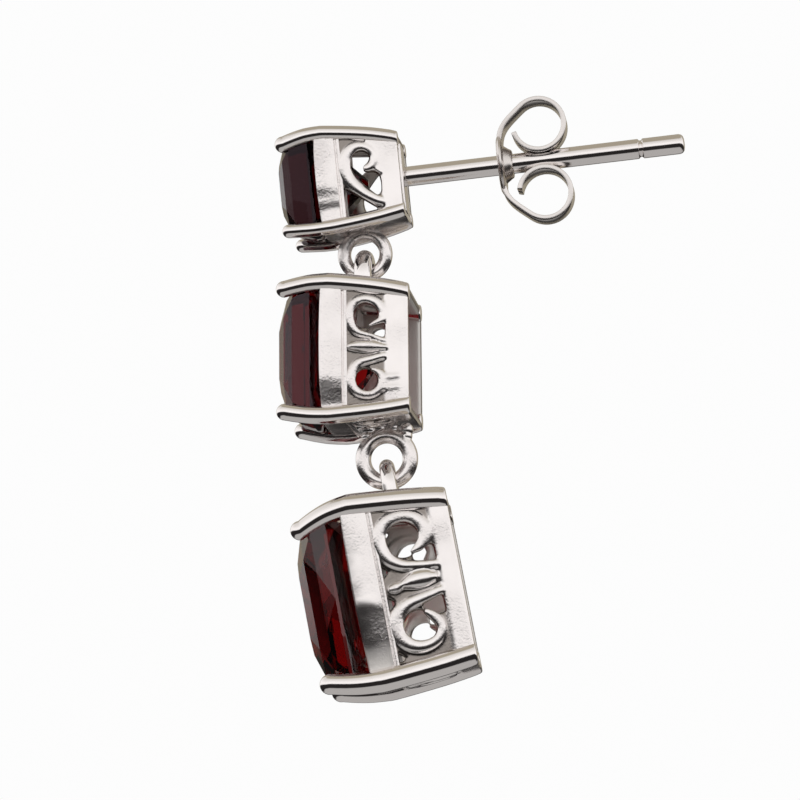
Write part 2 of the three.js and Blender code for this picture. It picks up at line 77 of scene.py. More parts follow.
# %% The surroundings
KHAKI, DARK = (0.4, 0.36, 0.285), (0.02, 0.018, 0.018)
LIGHT_BOX, BOX_TOP, TABLE = (1.04, 1.02, 1.01), (0.72, 0.7, 0.67), (0.45, 0.44, 0.43)
# Colour against the sine of the height above the horizon, from straight down to straight up
ROOM = {
    "camera_side": [(-0.74, TABLE), (-0.66, DARK), (-0.06, DARK), (0.03, LIGHT_BOX), (0.28, LIGHT_BOX),
                    (0.8, BOX_TOP), (0.87, KHAKI)],
    "far_side": [(-0.6, TABLE), (-0.3, DARK), (-0.08, DARK), (0.0, KHAKI)],
}
# Where the room behind the earring begins and is full, across and towards the front
FAR_FROM, FRONT_FROM = (-0.25, -0.45), (-0.66, -0.5)
BACKDROP = (0.98, 0.98, 0.98, 1)


def make_room():
    world = bpy.data.worlds.new("studio")
    bpy.context.scene.world = world
    world.use_nodes = True
    tree = world.node_tree
    tree.nodes.clear()
    node, link = tree.nodes.new, tree.links.new
    way = node("ShaderNodeTexCoord")
    split = node("ShaderNodeSeparateXYZ")
    link(way.outputs["Generated"], split.inputs[0])
    height = node("ShaderNodeMapRange")
    height.inputs["From Min"].default_value = -1
    link(split.outputs["Z"], height.inputs["Value"])

    def ramp(rows):
        made = node("ShaderNodeValToRGB")
        while len(made.color_ramp.elements) < len(rows):
            made.color_ramp.elements.new(0.5)
        for element, (sine, colour) in zip(made.color_ramp.elements, rows):
            element.position = (sine + 1) / 2
        for element, (sine, colour) in zip(made.color_ramp.elements, rows):
            element.color = (*colour, 1)
        link(height.outputs[0], made.inputs[0])
        return made.outputs[0]

    def step(axis, edges):
        made = node("ShaderNodeMapRange")
        made.interpolation_type = "SMOOTHSTEP"
        made.inputs["From Min"].default_value, made.inputs["From Max"].default_value = edges
        link(split.outputs[axis], made.inputs["Value"])
        return made.outputs[0]

    behind = node("ShaderNodeMath")
    behind.operation = "MULTIPLY"
    link(step("X", FAR_FROM), behind.inputs[0])
    link(step("Y", FRONT_FROM), behind.inputs[1])
    room = node("ShaderNodeMix")
    room.data_type = "RGBA"
    link(behind.outputs[0], room.inputs["Factor"])
    link(ramp(ROOM["camera_side"]), room.inputs["A"])
    link(ramp(ROOM["far_side"]), room.inputs["B"])
    seen = node("ShaderNodeMix")
    seen.data_type = "RGBA"
    ray = node("ShaderNodeLightPath")
    link(ray.outputs["Is Camera Ray"], seen.inputs["Factor"])
    link(room.outputs["Result"], seen.inputs["A"])
    seen.inputs["B"].default_value = BACKDROP
    light = node("ShaderNodeBackground")
    link(seen.outputs["Result"], light.inputs["Color"])
    out = node("ShaderNodeOutputWorld")
    link(light.outputs[0], out.inputs["Surface"])
    return world


make_room()
bpy.context.scene.view_settings.view_transform = "Standard"
print("room", {side: len(rows) for side, rows in ROOM.items()})

# %% [markdown]
# Cast and polished silver is smooth, but never like glass: it keeps shallow waves from the wax model and a
# fine grain where the polishing wheel didn't reach. One shader group makes both, as a normal, and each
# metal uses it with its own values.

# %% The cast-metal group
ROUGH_SPOTS = (0.42, 0.62)  # where in the patches the grain begins, and where it is full


def cast_group():
    group = bpy.data.node_groups.new("cast_surface", "ShaderNodeTree")
    rows = [("Wave Scale", 700.0), ("Wave Depth", 0.00002), ("Grain Scale", 9000.0),
            ("Grain Depth", 0.0000012), ("Patch Scale", 420.0)]
    for name, value in rows:
        group.interface.new_socket(name, in_out="INPUT", socket_type="NodeSocketFloat").default_value = value
    group.interface.new_socket("Normal", in_out="OUTPUT", socket_type="NodeSocketVector")
    group.interface.new_socket("Patches", in_out="OUTPUT", socket_type="NodeSocketFloat")
    node, link = group.nodes.new, group.links.new
    given, out = node("NodeGroupInput"), node("NodeGroupOutput")
    place = node("ShaderNodeTexCoord")

    def noise(scale, detail):
        made = node("ShaderNodeTexNoise")
        made.inputs["Detail"].default_value = detail
        link(place.outputs["Object"], made.inputs["Vector"])
        link(given.outputs[scale], made.inputs["Scale"])
        return made.outputs["Fac"]

    def bump(height, depth, below=None):
        made = node("ShaderNodeBump")
        made.inputs["Strength"].default_value = 1
        link(given.outputs[depth], made.inputs["Distance"])
        link(height, made.inputs["Height"])
        if below:
            link(below, made.inputs["Normal"])
        return made.outputs["Normal"]

    waves = bump(noise("Wave Scale", 1.5), "Wave Depth")
    patches = noise("Patch Scale", 3.0)
    rough_spots = node("ShaderNodeMapRange")
    rough_spots.inputs["From Min"].default_value, rough_spots.inputs["From Max"].default_value = ROUGH_SPOTS
    link(patches, rough_spots.inputs["Value"])
    grain = node("ShaderNodeMath")
    grain.operation = "MULTIPLY"
    link(noise("Grain Scale", 2.0), grain.inputs[0])
    link(rough_spots.outputs[0], grain.inputs[1])
    link(bump(grain.outputs[0], "Grain Depth", waves), out.inputs["Normal"])
    link(patches, out.inputs["Patches"])
    return group


cast_surface = cast_group()
print("group", cast_surface.name)

# %% [markdown]
# Three metals share that group. The settings are mirror polished with a faint pink tone. The wheel can't get
# inside the baskets, so there the metal stays as it was cast. Painted pictures could say where, but values
# on the points do it with none: unpolished mixes in a dull grey, and a painted shade darkens the colour of
# the low ground of the carving, as if the raised strokes shaded it. The nut is pressed from strip, so it is
# greyer and only softly polished.

# %% The metals
# Inside the baskets: the as-cast roughness and tone, and the dark colour of the painted shade on the low
# ground
CAST_FINISH_AND_SHADE = {"rough": 0.6, "tone": (0.9, 0.88, 0.86, 1), "painted_shade": (0.3, 0.27, 0.25, 1)}
POLISHED_PATCHES = (0.35, 0.7)  # from the brightest patch to the dullest


def metal(name, colour, rough, depths):
    made = bpy.data.materials.new(name)
    made.use_nodes = True
    node, link = made.node_tree.nodes.new, made.node_tree.links.new
    shader = made.node_tree.nodes["Principled BSDF"]
    shader.inputs["Metallic"].default_value = 1
    surface = node("ShaderNodeGroup")
    surface.node_tree = cast_surface
    for socket, value in depths.items():
        surface.inputs[socket].default_value = value
    link(surface.outputs["Normal"], shader.inputs["Normal"])
    polish = node("ShaderNodeMapRange")
    polish.inputs["From Min"].default_value, polish.inputs["From Max"].default_value = POLISHED_PATCHES
    polish.inputs["To Min"].default_value, polish.inputs["To Max"].default_value = rough
    link(surface.outputs["Patches"], polish.inputs["Value"])
    raw = node("ShaderNodeAttribute")
    raw.attribute_name = "unpolished"
    dull = node("ShaderNodeMix")
    link(raw.outputs["Fac"], dull.inputs["Factor"])
    link(polish.outputs[0], dull.inputs["A"])
    dull.inputs["B"].default_value = CAST_FINISH_AND_SHADE["rough"]
    link(dull.outputs["Result"], shader.inputs["Roughness"])
    tone = node("ShaderNodeMix")
    tone.data_type = "RGBA"
    tone.inputs["A"].default_value, tone.inputs["B"].default_value = colour
    link(surface.outputs["Patches"], tone.inputs["Factor"])
    grey = node("ShaderNodeMix")
    grey.data_type = "RGBA"
    link(raw.outputs["Fac"], grey.inputs["Factor"])
    link(tone.outputs["Result"], grey.inputs["A"])
    grey.inputs["B"].default_value = CAST_FINISH_AND_SHADE["tone"]
    # Painted shade: the low ground of the carving gets a darker base colour, standing in for shade between the
    # strokes
    low = node("ShaderNodeAttribute")
    low.attribute_name = "painted_shade"
    dark = node("ShaderNodeMix")
    dark.data_type = "RGBA"
    link(low.outputs["Fac"], dark.inputs["Factor"])
    link(grey.outputs["Result"], dark.inputs["A"])
    dark.inputs["B"].default_value = CAST_FINISH_AND_SHADE["painted_shade"]
    link(dark.outputs["Result"], shader.inputs["Base Color"])
    return made


SILVER_TONES = ((0.93, 0.9, 0.89, 1), (0.88, 0.84, 0.83, 1))
NUT_TONES = ((0.8, 0.77, 0.75, 1), (0.74, 0.7, 0.68, 1))
polished = metal("polished_silver", SILVER_TONES, (0.07, 0.13), {"Wave Depth": 1.6e-5, "Grain Depth": 1e-6})
cast = metal("cast_silver", SILVER_TONES, (0.16, 0.3), {"Wave Depth": 3e-5, "Grain Depth": 1.4e-5})
pressed = metal("pressed_silver", NUT_TONES, (0.18, 0.3), {"Wave Depth": 2e-5, "Grain Depth": 8e-7})
print("metals", [m.name for m in (polished, cast, pressed)])

# %% [markdown]
# Garnet is a dense red glass to the eye. Its colour isn't on the skin but in the depth of the stone, so the
# surface lets the light through and the inside absorbs all but red. The facets stay flat and sharp.

# %% The garnet
GARNET_RED, SKIN_RED, GARNET_IOR = (0.72, 0.02, 0.03, 1), (0.75, 0.3, 0.3, 1), 1.77
# How much light each stone drinks, and a painted tint on its sheen, darker on the upper two: the large one is
# clear and bright
STONES = {
    "stud_stone": (2400, (0.3, 0.23, 0.27, 1)),
    "middle_stone": (1000, (0.5, 0.4, 0.45, 1)),
    "drop_stone": (660, (0.9, 0.8, 0.82, 1)),
}


def garnet_material(name, density, painted_sheen):
    made = bpy.data.materials.new(name)
    made.use_nodes = True
    node, link = made.node_tree.nodes.new, made.node_tree.links.new
    shader = made.node_tree.nodes["Principled BSDF"]
    shader.inputs["Base Color"].default_value = SKIN_RED
    shader.inputs["Transmission Weight"].default_value = 1
    shader.inputs["IOR"].default_value = GARNET_IOR
    # Painted sheen: this tint dims or keeps the stone's reflections, more than the glass alone would
    shader.inputs["Specular Tint"].default_value = painted_sheen
    shader.inputs["Roughness"].default_value = 0.01
    depth = node("ShaderNodeVolumeAbsorption")
    depth.inputs["Color"].default_value = GARNET_RED
    depth.inputs["Density"].default_value = density
    link(depth.outputs[0], made.node_tree.nodes["Material Output"].inputs["Volume"])
    return made


for stone, (density, painted_sheen) in STONES.items():
    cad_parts[stone].data.materials.clear()
    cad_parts[stone].data.materials.append(
        garnet_material(stone.replace("stone", "garnet"), density, painted_sheen))
print("garnet on", len(STONES), "stones")

# %% [markdown]
# The floor lies far below the earring, which hangs in the air. It is pale and plain.

# %% The floor
FLOOR_DOWN = -75


def lay_floor():
    bpy.ops.object.select_all(action="DESELECT")
    bpy.ops.mesh.primitive_plane_add(size=3, location=(0, 0, FLOOR_DOWN * MM))
    floor = bpy.context.object
    floor.name = "floor"
    paint = bpy.data.materials.new("pale_floor")
    paint.use_nodes = True
    paint.node_tree.nodes["Principled BSDF"].inputs["Base Color"].default_value = (0.8, 0.8, 0.8, 1)
    paint.node_tree.nodes["Principled BSDF"].inputs["Roughness"].default_value = 0.8
    floor.data.materials.append(paint)
    floor.visible_glossy = False
    return floor


lay_floor()

# %% [markdown]
# Every basket is drawn upright in a frame of its own: x across, z up, and y = 0 on its back plane, with the
# stone at negative y. At rest each one leans, turns and rolls a few degrees, as a hanging thing does. These
# numbers are the same as in the part's source. A claw has its tip's depth, how far it bends inwards, and the
# radius of its end.

# %% Where the three baskets hang
TIERS = {
    "stud": {
        "body": "stud", "node": "stud_setting", "at": (-0.0056, -2.2263, -0.3549), "turn": (5.5, 0, 2.3),
        "back": 2.08, "girdle_reach": 2.678, "girdle": 4.38, "relief": 0.16, "prong": 0.36,
        "upper_claw": (5.88, 0.31, 0.4), "lower_claw": (5.88, 0.08, 0.33),
        "back_band": 0.95, "gallery": 1.85, "rail": 0.2, "band": 0.95, "wall": 0.42, "voxel": 0.045,
    },
    "middle": {
        "body": "middle_drop", "node": "middle_setting", "at": (-0.0399, -1.7197, -9.0565),
        "turn": (0.7, 0, -1.2),
        "back": 3.12, "girdle_reach": 3.645, "girdle": 4.68, "relief": 0.18, "prong": 0.44,
        "upper_claw": (6.29, 0.26, 0.4), "lower_claw": (6.29, 0.28, 0.4),
        "back_band": 1.12, "gallery": 1.81, "rail": 0.2, "band": 1.0, "wall": 0.46, "voxel": 0.055,
    },
    "drop": {
        "body": "bottom_drop", "node": "drop_setting", "at": (-0.1683, 0.5526, -19.7637),
        "turn": (10.8, 3.6, 0),
        "back": 4.18, "girdle_reach": 4.681, "girdle": 5.75, "relief": 0.22, "prong": 0.55,
        "upper_claw": (7.42, 0.66, 0.46), "lower_claw": (7.36, 0.34, 0.48),
        "back_band": 0.98, "gallery": 2.62, "rail": 0.2, "band": 1.17, "wall": 0.52, "voxel": 0.06,
    },
}
# How the prongs spread from the back plane to the girdle
SPREAD = [(0, 0), (0.25, 0.4), (0.5, 0.68), (0.75, 0.9), (1, 1)]


def tier_matrix(tier):
    lean, yaw, roll = (math.radians(a) for a in tier["turn"])
    turn = Matrix.Rotation(yaw, 4, "Z") @ Matrix.Rotation(lean, 4, "X") @ Matrix.Rotation(roll, 4, "Y")
    return Matrix.Scale(MM, 4) @ Matrix.Translation(tier["at"]) @ turn


def reach(tier, depth):
    """Half the width over the prongs at a depth from the back plane."""
    share = min(max(depth / tier["girdle"], 0), 1)
    for (a, low), (b, high) in zip(SPREAD, SPREAD[1:]):
        if share <= b:
            spread = low + (share - a) / (b - a) * (high - low)
            break
    return tier["back"] + spread * (tier["girdle_reach"] - tier["back"])


def wall_at(tier, depth):
    return reach(tier, depth) - tier["relief"]


def band_front(tier):
    return tier["back_band"] + tier["gallery"] + tier["rail"] + tier["band"]


print("mm over the prongs", {name: round(2 * reach(tier, tier["girdle"]), 2) for name, tier in TIERS.items()})

# %% [markdown]
# A few hand tools serve every piece. One opens a piece for editing, one runs a modifier, and one puts a
# finished piece in its place: its basket's turn and place go into the mesh, so the object itself stays at
# the origin.

# %% Hand tools
ALL_PIECES = []


def only(*objects):
    bpy.ops.object.select_all(action="DESELECT")
    for obj in objects:
        obj.select_set(True)
    bpy.context.view_layer.objects.active = objects[0]


def open_up(obj, what="VERT"):
    only(obj)
    bpy.ops.object.mode_set(mode="EDIT")
    bpy.ops.mesh.select_mode(type=what)


def close():
    bpy.ops.object.mode_set(mode="OBJECT")


def apply_place(obj):
    only(obj)
    bpy.ops.object.transform_apply(location=True, rotation=True, scale=True)


def modify(obj, kind, **values):
    only(obj)
    made = obj.modifiers.new(kind.lower(), kind)
    for key, value in values.items():
        setattr(made, key, value)
    bpy.ops.object.modifier_apply(modifier=made.name)
    return obj


def face_out(obj):
    open_up(obj)
    bpy.ops.mesh.select_all(action="SELECT")
    bpy.ops.mesh.remove_doubles(threshold=1e-5)
    bpy.ops.mesh.normals_make_consistent(inside=False)
    close()
    return obj


def pick(obj, test):
    """Select, in edit mode, the points that pass a test of their place."""
    close()
    obj.data.vertices.foreach_set("select", [test(v.co) for v in obj.data.vertices])
    obj.data.edges.foreach_set("select", [all(obj.data.vertices[i].select for i in e.vertices)
                                          for e in obj.data.edges])
    obj.data.polygons.foreach_set("select", [all(obj.data.vertices[i].select for i in p.vertices)
                                             for p in obj.data.polygons])
    bpy.ops.object.mode_set(mode="EDIT")


def weld_together(name, parts):
    only(*parts)
    if len(parts) > 1:
        bpy.ops.object.join()
    joined = bpy.context.object
    joined.name = joined.data.name = name
    return joined


def copy_of(obj):
    made = obj.copy()
    made.data = obj.data.copy()
    bpy.context.scene.collection.objects.link(made)
    return made


def mark_points(obj, amount, what="unpolished"):
    """Write a value from 0 to 1 on each point, worked out from its place and normal."""
    layer = obj.data.attributes.new(what, "FLOAT", "POINT")
    layer.data.foreach_set("value", [min(max(amount(v.co, v.normal), 0), 1) for v in obj.data.vertices])


def finish_piece(obj, name, matrix, body, node, material, angle=None):
    obj.name = obj.data.name = name
    obj.matrix_world = matrix @ obj.matrix_world
    apply_place(obj)
    if angle is None:
        bpy.ops.object.shade_smooth()
    else:
        bpy.ops.object.shade_smooth_by_angle(angle=math.radians(angle))
    obj.data.materials.clear()
    obj.data.materials.append(material)
    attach(obj, body)
    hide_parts(node)
    ALL_PIECES.append(obj)
    print(name, len(obj.data.polygons), "faces")
    return obj


# %% [markdown]
# Most of an earring is wire and bar: prongs, scrolls, loops, the post. A curve with a round bevel could
# draw them, but a bar that swells and tapers is easier as a disc that is pulled along its path: extrude,
# turn, resize, and again. The path bends in one plane only, so each turn is about one axis.

# %% A bar that follows a path


def along_curve(rows, steps=4):
    """More points on the smooth curve through the given rows of numbers."""
    rows = [Vector(row) for row in rows]
    last = len(rows) - 1
    points = []
    for i in range(last):
        a, b, c, d = (rows[min(max(i + k, 0), last)] for k in (-1, 0, 1, 2))
        for s in range(steps):
            t = s / steps
            points.append(0.5 * (2 * b + (c - a) * t + (2 * a - 5 * b + 4 * c - d) * t * t
                                 + (3 * b - a - 3 * c + d) * t ** 3))
    return points + [rows[last]]


def rounded_ends(rows, start=True, end=True):
    """Add the small discs that close each end of a bar like a dome. A row is x, y, z, radius."""
    rows = [Vector(row) for row in rows]

    def dome(tip, before):
        out = (Vector(tip[:3]) - Vector(before[:3])).normalized()
        return [Vector((*(Vector(tip[:3]) + out * tip[3] * math.sin(a)), tip[3] * math.cos(a)))
                for a in (math.radians(d) for d in (25, 48, 68, 84))]

    if end:
        rows = rows + dome(rows[-1], rows[-2])
    if start:
        rows = dome(rows[0], rows[1])[::-1] + rows
    return rows


def bar(rows, about="X", sides=20):
    """A solid bar through rows of x, y, z, radius. It bends about the axis given, or not at all."""
    points = [Vector(row[:3]) for row in rows]
    sizes = [row[3] for row in rows]

    def turn_at(i):
        ahead = points[min(i + 1, len(points) - 1)] - points[max(i - 1, 0)]
        if about == "X":
            return math.atan2(-ahead.y, ahead.z)
        if about == "Y":
            return math.atan2(ahead.x, ahead.z)
        return math.pi / 2

    turns = [turn_at(i) for i in range(len(points))]
    start = (0, turns[0], 0) if about == "Y" else (turns[0], 0, 0)
    bpy.ops.object.select_all(action="DESELECT")
    bpy.ops.mesh.primitive_circle_add(vertices=sides, radius=sizes[0], fill_type="NGON",
                                      location=points[0], rotation=start)
    made = bpy.context.object
    apply_place(made)
    open_up(made)
    bpy.ops.mesh.select_all(action="SELECT")
    for i in range(1, len(points)):
        bpy.ops.mesh.extrude_region_move(TRANSFORM_OT_translate={"value": points[i] - points[i - 1]})
        swing = math.remainder(turns[i] - turns[i - 1], 2 * math.pi)
        if abs(swing) > 1e-6:
            bpy.ops.transform.rotate(value=-swing, orient_axis=about, center_override=points[i])
        grow = sizes[i] / sizes[i - 1]
        if abs(grow - 1) > 1e-6:
            bpy.ops.transform.resize(value=(grow, grow, grow), center_override=points[i])
    close()
    return face_out(made)


# %% [markdown]
# Each stone is held by four claws. On the real piece a claw is a round bar along each corner of the basket,
# bowed a little outwards to the girdle, bent in over the stone and rounded at its tip. The discs stay
# square to the basket's axis, because the bar hardly bends.

# %% The claws
CLAW_STEPS, CLAW_CURVE, BENT_ROWS = 3, 1.8, 6
CLAW_START = 0.55  # how far behind the band's front the bend begins, in shares of the band
BACK_EDGE = ((0, 0.8), (0.07, 0.92))  # depth and radius of the small rounded edge, in shares of the radius
TIP_ANGLES = (20, 38, 54, 68, 79, 87)


def claw(tier, side_x, side_z):
    radius = tier["prong"]
    tip, inward, end = tier["upper_claw"] if side_z > 0 else tier["lower_claw"]
    rows = []

    def put(depth, bent, size):
        middle = reach(tier, depth) - radius - bent
        rows.append((side_x * middle, -depth, side_z * middle, size))

    bend_from = band_front(tier) - CLAW_START * tier["band"]
    for share, _ in SPREAD:
        if share * tier["girdle"] < bend_from - 0.3:
            put(share * tier["girdle"], 0, radius)
    for step in range(BENT_ROWS + 1):
        share = step / BENT_ROWS
        put(bend_from + share * (tip - end - bend_from), inward * share ** CLAW_CURVE,
            radius + share * (end - radius))
    path = along_curve(rows, CLAW_STEPS)
    # the back end has a small rounded edge, and the tip is a dome
    rows = []
    for depth, share in BACK_EDGE:
        put(depth * radius, 0, share * radius)
    path = [Vector(row) for row in rows] + [path[0] + Vector((0, -0.22 * radius, 0, 0))] + path[1:]
    rows = []
    for angle in (math.radians(a) for a in TIP_ANGLES):
        put(tip - end + end * math.sin(angle), inward, end * math.cos(angle))
    return bar(path + [Vector(row) for row in rows], about=None, sides=32)


for name, tier in TIERS.items():
    claws = [claw(tier, x, z) for x, z in ((1, 1), (1, -1), (-1, -1), (-1, 1))]
    claws = weld_together(name + "_claws", claws)
    finish_piece(claws, name + "_claws", tier_matrix(tier), tier["body"], tier["node"], polished,
                 50)

# %% [markdown]
# The bezel band is a square tube with round corners, and a thin rail runs behind it. It starts as a flat
# square whose corners are bevelled. Its edge is then pulled back along the axis ring by ring, which gives
# the band's section: a rounded front edge, the flat face, a step, and the rail. A polished flat mirrors one
# tone all over, so columns of points are pushed in or out by a hair, as on the real band, to catch the dark
# of the room in one patch of each side. Solidify gives it a wall.

# %% The bezel bands
BAND_BOW = 0.1
CORNER_STEPS, SIDE_CUTS = 6, 31
# Towards one end each band leans in a little: from and to, in shares of half its width, and how steeply
LEANS = {"stud": [(0.17, 0.33), (0.44, 0.6)], "middle": [(0.42, 0.84)], "drop": [(0.12, 0.76)]}
LEAN_SLOPE = {"stud": 0.12, "middle": 0.17, "drop": 0.13}


def square_tube(rings, corner, cuts):
    """An open tube through rings of (depth, half width), with round corners of the given radius."""
    bpy.ops.object.select_all(action="DESELECT")
    depth, half = rings[0]
    bpy.ops.mesh.primitive_plane_add(size=2 * half, location=(0, -depth, 0), rotation=(math.pi / 2, 0, 0))
    made = bpy.context.object
    apply_place(made)
    open_up(made)
    bpy.ops.mesh.select_all(action="SELECT")
    bpy.ops.mesh.bevel(offset=corner, segments=CORNER_STEPS, affect="VERTICES")
    bpy.ops.mesh.select_all(action="SELECT")
    bpy.ops.mesh.delete(type="ONLY_FACE")
    long_side = 1.5 * corner
    bpy.ops.mesh.select_mode(type="EDGE")
    bpy.ops.mesh.select_all(action="DESELECT")
    close()
    for edge in made.data.edges:
        a, b = (made.data.vertices[i].co for i in edge.vertices)
        edge.select = (a - b).length > long_side
    bpy.ops.object.mode_set(mode="EDIT")
    bpy.ops.mesh.subdivide(number_cuts=cuts)
    bpy.ops.mesh.select_all(action="SELECT")
    for (d0, h0), (d1, h1) in zip(rings, rings[1:]):
        bpy.ops.mesh.extrude_region_move(TRANSFORM_OT_translate={"value": (0, d0 - d1, 0)})
        bpy.ops.transform.resize(value=(h1 / h0, 1, h1 / h0), center_override=(0, -d1, 0))
    close()
    return made


def bezel(name, tier):
    rail_back = tier["back_band"] + tier["gallery"]
    band_back = rail_back + tier["rail"]
    front = band_front(tier)
    profile = [(front, 0.09), (front - 0.03, 0.035), (front - 0.09, 0.0),
               (front - 0.45 * tier["band"], -0.012),
               (band_back + 0.05, 0.0), (band_back + 0.01, 0.03), (band_back - 0.02, 0.11),
               (rail_back + 0.13, 0.1), (rail_back + 0.1, 0.05), (rail_back + 0.05, 0.03),
               (rail_back - 0.03, 0.05), (rail_back - 0.07, 0.14)]
    rings = [(depth, wall_at(tier, depth) - inset) for depth, inset in profile]
    made = square_tube(rings, tier["prong"], SIDE_CUTS)
    half = rings[2][1]

    def along_side(co):
        """Where a point lies along its side: -1 and 1 are the corners, and the lower end counts down."""
        return co.z / co.x if abs(co.x) >= abs(co.z) else -co.x / co.z

    def on_column(co, column, depth):
        return -co.y > depth and abs(along_side(co) - column) < 6e-4

    straight = 1 - tier["prong"] / half

    def lean_at(column):
        full = sum(high - low for low, high in LEANS[name])
        corner = 0.5 * max(abs(column) - straight, 0) / (1 - straight)
        if column > 0:
            return LEAN_SLOPE[name] * full * corner
        leaning = sum(min(max(-column, low), high) - low for low, high in LEANS[name])
        return LEAN_SLOPE[name] * (leaning - full * corner)

    for column in sorted({round(along_side(v.co), 3) for v in made.data.vertices}):
        shrink = 1 - lean_at(column)
        open_up(made)
        pick(made, lambda co: on_column(co, column, band_back + 0.02))
        bpy.ops.transform.resize(value=(shrink, 1, shrink), center_override=(0, 0, 0))
        if abs(column) < straight + 0.005:
            pick(made, lambda co: on_column(co, column, front - 0.2))
            bpy.ops.transform.translate(value=(0, -BAND_BOW * (1 - column ** 2), 0))
        close()
    face_out(made)
    modify(made, "SOLIDIFY", thickness=tier["wall"] - 0.05, offset=-1, use_even_offset=True)
    mark_points(made, lambda co, normal: (wall_at(tier, -co.y) - max(abs(co.x), abs(co.z)) - 0.25) / 0.1)
    return made


for name, tier in TIERS.items():
    finish_piece(bezel(name, tier), name + "_bezel", tier_matrix(tier), tier["body"], tier["node"], cast,
                 40)

# %% [markdown]
# The gallery between the bezel and the back edge is pierced. On the two drops each side has a scroll above
# and below a leaf, and on the top basket a comma and a slanting bar. The real one is cast from a carved
# wax, so one side is carved here the same way: a thin ground with openings, low ridges for the scrolls laid
# on it, a leaf, and the thick back edge. Remeshing then melts them into one, as the wax does.
# All places are in shares of the gallery's depth: along from the rail to the back edge, and up.

# %% The drawing of the galleries
# A row of a stroke is along, up, radius
STROKES = {
    "drop": [
        [(1.1, 0.27, 0.067), (0.9, 0.28, 0.078), (0.65, 0.31, 0.078), (0.38, 0.36, 0.09),
         (0.17, 0.51, 0.112), (0.07, 0.76, 0.123), (0.09, 0.97, 0.123), (0.25, 1.15, 0.112),
         (0.5, 1.21, 0.101), (0.74, 1.14, 0.112), (0.87, 0.96, 0.129), (0.86, 0.77, 0.123),
         (0.75, 0.64, 0.101), (0.62, 0.57, 0.056)],
        [(1.1, -0.17, 0.067), (0.95, -0.2, 0.078), (0.69, -0.26, 0.09), (0.38, -0.33, 0.101),
         (0.18, -0.45, 0.112), (0.1, -0.62, 0.123), (0.12, -0.87, 0.129), (0.29, -1.05, 0.118),
         (0.52, -1.1, 0.101), (0.76, -1.02, 0.084), (0.86, -0.84, 0.078), (0.79, -0.66, 0.095),
         (0.66, -0.53, 0.067)],
    ],
    "middle": [
        [(1.15, 0.14, 0.07), (0.95, 0.19, 0.07), (0.66, 0.3, 0.07), (0.27, 0.42, 0.09), (0.12, 0.68, 0.11),
         (0.11, 0.98, 0.115), (0.25, 1.2, 0.11), (0.51, 1.28, 0.11), (0.8, 1.18, 0.13), (0.97, 0.94, 0.14),
         (0.93, 0.74, 0.11), (0.78, 0.66, 0.08), (0.62, 0.58, 0.05)],
        [(1.15, -0.2, 0.08), (0.95, -0.22, 0.09), (0.66, -0.3, 0.1), (0.33, -0.4, 0.11),
         (0.17, -0.63, 0.12), (0.13, -0.93, 0.125), (0.29, -1.16, 0.11), (0.59, -1.23, 0.1),
         (0.84, -1.1, 0.1), (0.95, -0.85, 0.12), (0.84, -0.66, 0.1), (0.66, -0.58, 0.05)],
    ],
    "stud": [
        [(0.66, 0.2, 0.1), (0.79, 0.26, 0.11), (0.88, 0.42, 0.11), (0.85, 0.6, 0.11), (0.7, 0.74, 0.11),
         (0.5, 0.79, 0.12), (0.32, 0.73, 0.14), (0.17, 0.57, 0.155), (0.1, 0.36, 0.165), (0.11, 0.12, 0.165),
         (0.24, -0.14, 0.15), (0.5, -0.41, 0.13), (0.78, -0.6, 0.12), (1.02, -0.7, 0.12),
         (1.16, -0.72, 0.1)],
    ],
}
# Short streaks: two that cross the back edge, and the knob beside the large leaf
STREAKS = {
    "drop": [[(0.12, -0.03, 0.06), (0.2, -0.02, 0.08), (0.32, 0.01, 0.06)]],
    "middle": [[(0.9, -0.8, 0.05), (1.05, -0.78, 0.07), (1.34, -0.75, 0.05)],
               [(0.92, -1.09, 0.05), (1.1, -1.06, 0.07), (1.34, -1.04, 0.05)]],
}
# Plates that lie as high as the face, here between the comma's curl and the back edge
PLATES = {
    "stud": [[(1.1, 0.02), (0.98, 0.04), (0.85, 0.14), (0.8, 0.3), (0.86, 0.5), (0.8, 0.66), (0.66, 0.8),
              (0.7, 0.98), (1.1, 0.98)]],
}
# Openings: either a round hole (along, up, radius) or the corners of an outline
OPENINGS = {
    "drop": [
        (0.47, 0.79, 0.31), (0.5, -0.76, 0.29),
        [(0.6, 0.6), (0.98, 0.64), (1.0, 0.34), (0.6, 0.4)],
        [(0.6, -0.39), (0.98, -0.26), (0.99, -0.58), (0.7, -0.6)],
        [(-0.02, 0.42), (0.13, 0.28), (-0.02, 0.15)], [(-0.01, -0.14), (0.15, -0.27), (0.0, -0.43)],
        [(0.0, -1.13), (0.17, -1.27), (0.0, -1.33)],
    ],
    "middle": [
        (0.5, 0.85, 0.33), (0.5, -0.84, 0.29),
        [(0.6, 0.62), (1.0, 0.66), (1.02, 0.26), (0.55, 0.38)],
        [(0.05, 0.34), (0.15, 0.26), (0.05, 0.18)],
    ],
    "stud": [
        [(0.5, 0.66), (0.37, 0.62), (0.28, 0.48), (0.26, 0.25), (0.36, 0.03), (0.62, -0.27), (0.88, -0.53),
         (0.98, -0.42), (1.0, -0.2), (0.97, 0.0), (0.85, 0.1), (0.7, 0.1), (0.58, 0.14), (0.58, 0.26),
         (0.7, 0.36), (0.76, 0.48), (0.72, 0.6), (0.62, 0.66)],
        [(0.04, -0.26), (0.9, -0.88), (0.03, -1.0)],
    ],
}
LEAF = {
    "drop": [(0.4, 0.025, 0.09), (0.5, 0.045, 0.14), (0.62, 0.06, 0.165), (0.76, 0.065, 0.155),
             (0.87, 0.06, 0.1)],
    "middle": [(0.04, 0.0, 0.05), (0.15, 0.03, 0.1), (0.4, 0.04, 0.145), (0.65, 0.03, 0.145),
               (0.85, 0.01, 0.1), (1.0, 0.0, 0.06)],
}
GROUND = {"stud": 0.1, "middle": 0.12, "drop": 0.14}  # how far the ground lies below the face
